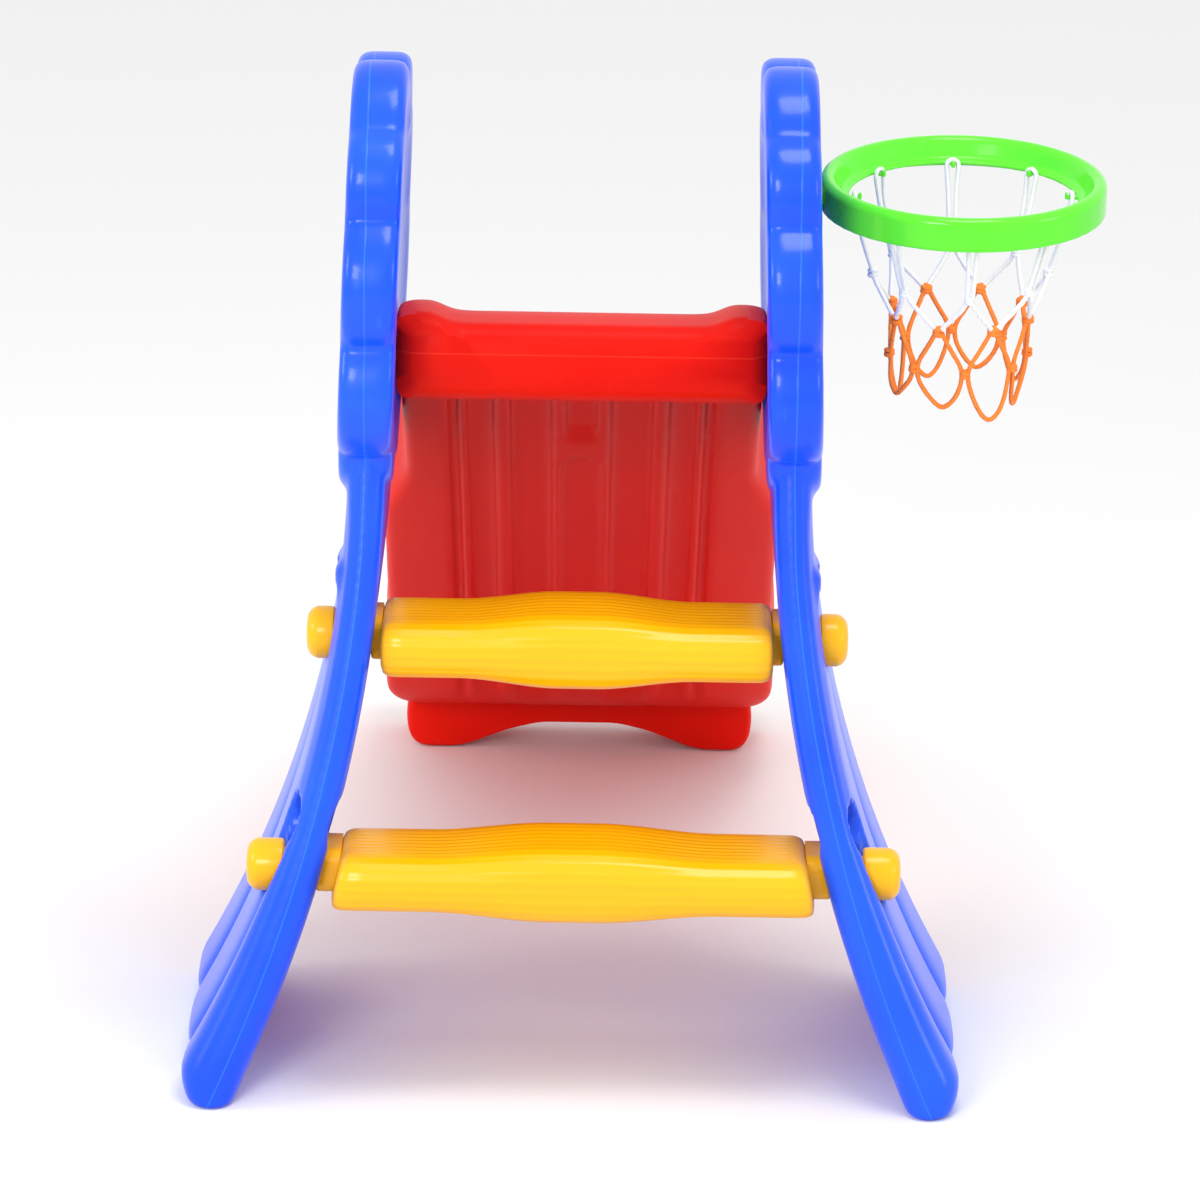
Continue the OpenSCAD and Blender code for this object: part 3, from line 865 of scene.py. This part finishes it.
class Shader:
    def __init__(self, name):
        self.material = bpy.data.materials.new(name)
        self.material.use_nodes = True
        self.tree = self.material.node_tree
        self.tree.nodes.clear()
        self.end = self.tree.nodes.new("ShaderNodeOutputMaterial")
        self.place = self.node("ShaderNodeTexCoord", "Object")

    def node(self, kind, out, inputs=None, **settings):
        """Adds a node, sets its properties and inputs, and gives back one of its outputs."""
        made = self.tree.nodes.new(kind)
        for key, value in settings.items():
            setattr(made, key, value)
        for key, value in (inputs or {}).items():
            self.feed(made.inputs[key], value)
        return Val(self, made.outputs[out])

    def feed(self, socket, value):
        if isinstance(value, Val):
            self.tree.links.new(value.socket, socket)
        elif value is not None:
            socket.default_value = value

    def maths(self, operation, a, b=None):
        return self.node("ShaderNodeMath", 0, {0: a, 1: b}, operation=operation)

    def noise(self, scale, detail=2, place=None):
        return self.node("ShaderNodeTexNoise", "Fac",
                         {"Vector": place or self.place, "Scale": scale, "Detail": detail})

    def specks(self, scale):
        return self.node("ShaderNodeTexVoronoi", "Distance", {"Vector": self.place, "Scale": scale})

    def stretched(self, scales):
        return self.node("ShaderNodeVectorMath", 0, {0: self.place, 1: scales}, operation="MULTIPLY")

    def axis(self, name):
        return self.node("ShaderNodeSeparateXYZ", name, {0: self.place})

    def between(self, value, low, high):
        """Zero below low, one above high, and a straight rise between."""
        return self.node("ShaderNodeMapRange", "Result",
                         {"Value": value, "From Min": low, "From Max": high})

    def blend(self, share, a, b):
        made = self.tree.nodes.new("ShaderNodeMix")
        made.data_type = "RGBA"
        colour = [s for s in made.inputs if s.type == "RGBA"]
        self.feed(made.inputs[0], share)
        self.feed(colour[0], a)
        self.feed(colour[1], b)
        return Val(self, next(s for s in made.outputs if s.type == "RGBA"))

    def finish(self, colour, rough, height, depth, metallic=0.0, coat=0.0, distance=0.001,
               shine=0.5):
        bump = self.node("ShaderNodeBump", "Normal",
                         {"Height": height, "Strength": depth, "Distance": distance})
        skin = self.tree.nodes.new("ShaderNodeBsdfPrincipled")
        self.feed(skin.inputs["Base Color"], colour)
        self.feed(skin.inputs["Roughness"], rough)
        self.feed(skin.inputs["Metallic"], metallic)
        self.feed(skin.inputs["Normal"], bump)
        skin.inputs["Specular IOR Level"].default_value = shine
        skin.inputs["Coat Weight"].default_value = coat
        skin.inputs["Coat Roughness"].default_value = 0.12
        self.tree.links.new(skin.outputs[0], self.end.inputs[0])
        return self.material


def from_screen(r, g, b):
    """A screen colour of 0 to 255 as linear light."""
    part = [(c / 255 / 12.92 if c < 11 else ((c / 255 + 0.055) / 1.055) ** 2.4) for c in (r, g, b)]
    return (*part, 1)


def line_at(shader, value, where, half):
    """One on a fine line and zero away from it."""
    away = (value - where).maths("ABSOLUTE")
    return shader.between(away, half, half * 0.3)


def moulded_plastic(name, body, pale, deep, rough, peel, coat, seams=(), grain=0.0, shine=0.22):
    """Blown or moulded plastic: an orange-peel skin, cloudy colour, fine scuffs and a raised parting
    line with a painted highlight along it.
    """
    s = Shader(name)
    cloud = s.noise(5.0, 3)
    colour = s.blend(s.between(cloud, 0.35, 0.7), body, s.blend(0.2, body, pale))
    scratch = s.noise(150.0, 2, s.stretched((1.0, 0.12, 0.3)))
    scuff = s.between(scratch, 0.62, 0.75) * s.between(s.noise(9.0, 2), 0.5, 0.68)
    colour = s.blend(scuff * 0.16, colour, pale)
    dust = s.between(s.specks(700.0), 0.12, 0.05) * s.between(s.noise(60.0), 0.55, 0.7)
    colour = s.blend(dust * 0.2, colour, deep)
    height = s.noise(peel, 2) * 0.6 + s.noise(peel * 3.1, 2) * 0.25 - scuff * 0.15
    if grain:
        sand = s.specks(1150.0) + s.noise(1900.0, 2) * 0.5
        height = height + sand * grain
    for seam in seams:
        line = seam(s)
        height = height + line * 1.6
        # painted highlight: the parting line's colour is lightened towards the pale tone, on top of
        # its raised ridge
        colour = s.blend(line * 0.4, colour, pale)
    gloss = rough + (cloud - 0.5) * 0.12 + scuff * 0.12
    return s.finish(colour, gloss, height, 0.16, coat=coat, shine=shine)


SEAM_X, SEAM_FLARE = 157.5, 1010.0


def panel_seam(s):
    """The parting line runs along the middle of each panel's thickness."""
    x, z = s.axis("X"), s.axis("Z")
    aside = (x - MIDDLE.x).maths("ABSOLUTE") / MM
    high = (z - MIDDLE.z) / MM
    lean = (CROWN_MID_Z - high) * CROWN_LEAN + CROWN_X
    drop = (JOIN_Z - high).maths("MAXIMUM", 0.0)
    flare = drop * drop / (2 * SEAM_FLARE) + SEAM_X
    middle = s.maths("MAXIMUM", lean, flare)
    middle = s.maths("MINIMUM", middle, TOE_REACH - 20)
    return line_at(s, aside - middle, 0.0, 0.8)


def lip_seam(s):
    """The parting line across the chute's back edge."""
    y, z = s.axis("Y"), s.axis("Z")
    high = (z - MIDDLE.z) / MM
    behind = s.between((y - MIDDLE.y) / MM, 152.0, 150.0)
    return line_at(s, high, DECK_Z - 20, 0.9) * behind


def cord_plastic(name, body, pale, deep):
    """Polyester cord: fine plaited strands that cross, a soft fuzz, and painted shade that darkens the
    gaps between the strands.
    """
    s = Shader(name)
    left = s.node("ShaderNodeTexWave", "Fac", {"Vector": s.place, "Scale": 330.0, "Distortion": 1.2,
                                               "Detail": 1.0, "Detail Scale": 2.0},
                  wave_type="BANDS", bands_direction="DIAGONAL")
    right = s.node("ShaderNodeTexWave", "Fac", {"Vector": s.stretched((-1.0, 1.0, 1.0)),
                                                "Scale": 330.0, "Distortion": 1.2, "Detail": 1.0,
                                                "Detail Scale": 2.0},
                   wave_type="BANDS", bands_direction="DIAGONAL")
    plait = s.maths("MAXIMUM", left, right)
    fuzz = s.noise(2600.0, 2)
    # painted shade: the gaps between the plaited strands are darkened towards the cord's shade colour
    colour = s.blend(s.between(plait, 0.2, 0.75), deep, body)
    colour = s.blend(s.between(fuzz, 0.55, 0.8) * 0.5, colour, pale)
    rough = 0.62 + (fuzz - 0.5) * 0.3
    return s.finish(colour, rough, plait * 0.7 + fuzz * 0.4, 0.5, distance=0.0006)


def bare_metal(name, body, dark, rough):
    """Plated metal: turned lines, dull patches and small stains."""
    s = Shader(name)
    turned = s.noise(900.0, 2, s.stretched((6.0, 1.0, 1.0)))
    patch = s.noise(120.0, 3)
    colour = s.blend(s.between(patch, 0.45, 0.75) * 0.5, body, dark)
    gloss = rough + (turned - 0.5) * 0.2 + s.between(patch, 0.5, 0.8) * 0.15
    return s.finish(colour, gloss, turned, 0.2, metallic=1.0)


BLUE = moulded_plastic("blue_blown_plastic", from_screen(6, 72, 244), from_screen(50, 136, 255),
                       from_screen(8, 30, 150), 0.3, 95.0, 0.22, (panel_seam,))
RED = moulded_plastic("red_blown_plastic", from_screen(222, 18, 6), from_screen(255, 62, 34),
                      from_screen(150, 8, 6), 0.42, 80.0, 0.0, (lip_seam,), 0.25, 0.08)
YELLOW = moulded_plastic("yellow_moulded_plastic", from_screen(248, 176, 0), from_screen(255, 200, 30),
                         from_screen(205, 140, 0), 0.3, 140.0, 0.25)
GREEN = moulded_plastic("green_moulded_plastic", from_screen(88, 222, 34), from_screen(130, 246, 90),
                        from_screen(30, 160, 20), 0.2, 160.0, 0.35)
# each cord's third colour is the painted shade in the gaps between its strands
WHITE = cord_plastic("white_polyester_cord", from_screen(244, 244, 242), from_screen(252, 252, 250),
                     from_screen(206, 208, 212))
ORANGE = cord_plastic("orange_polyester_cord", from_screen(255, 138, 34), from_screen(255, 180, 100),
                      from_screen(226, 92, 14))
STEEL = bare_metal("zinc_plated_steel", from_screen(196, 200, 204), from_screen(128, 132, 138), 0.3)
BRASS = bare_metal("turned_brass", from_screen(214, 176, 92), from_screen(150, 110, 44), 0.28)
CAP_BLUE = moulded_plastic("blue_cap_plastic", from_screen(6, 72, 244), from_screen(50, 136, 255),
                           from_screen(8, 30, 150), 0.34, 180.0, 0.2)


def paper():
    """Matt white backdrop paper with a faint tooth."""
    s = Shader("backdrop_paper")
    tooth = s.noise(300.0, 2)
    colour = s.blend(tooth * 0.3, (0.84, 0.84, 0.84, 1), (0.8, 0.8, 0.8, 1))
    return s.finish(colour, 0.9, tooth, 0.05)


PAPER = paper()


def dress_cad_parts():
    """The fixings keep their CAD shapes and get their materials."""
    for node, material in (("chute_bolts", STEEL), ("chute_washers", STEEL),
                           ("chute_inserts", BRASS), ("bolt_caps", CAP_BLUE)):
        piece = bpy.data.objects[node]
        for slot in piece.material_slots:
            slot.material = material


# ------------------------------------------------------------------ studio
def studio():
    bpy.ops.mesh.primitive_plane_add(size=30, location=(0, 0, MIDDLE.z))
    floor = bpy.context.object
    floor.name = "studio_floor"
    floor.data.materials.append(PAPER)
    world = bpy.data.worlds.new("white_room")
    bpy.context.scene.world = world
    world.use_nodes = True
    back = world.node_tree.nodes["Background"]
    back.inputs["Color"].default_value = (1, 1, 1, 1)
    back.inputs["Strength"].default_value = 1.0
    for name, spot, size, watts in (("top_softbox", (0.3, -0.7, 2.4), 0.8, 16),
                                    ("back_softbox", (-0.9, -2.8, 1.5), 0.8, 26),
                                    ("left_softbox", (-2.4, -0.9, 1.3), 0.7, 12),
                                    ("right_softbox", (2.6, -1.2, 1.1), 0.7, 8)):
        bpy.ops.object.light_add(type="AREA", location=spot)
        lamp = bpy.context.object
        lamp.name = name
        lamp.data.size, lamp.data.energy = size, watts
        lamp.rotation_euler = (Vector((0, 0, 0.35)) - Vector(spot)).to_track_quat("-Z", "Y").to_euler()
    bpy.context.scene.view_settings.view_transform = "Standard"


# ------------------------------------------------------------------ the slide
side_panels()
chute()
step(LOWER)
step(UPPER)
hoop()
net()
dress_cad_parts()
studio()
set_camera()
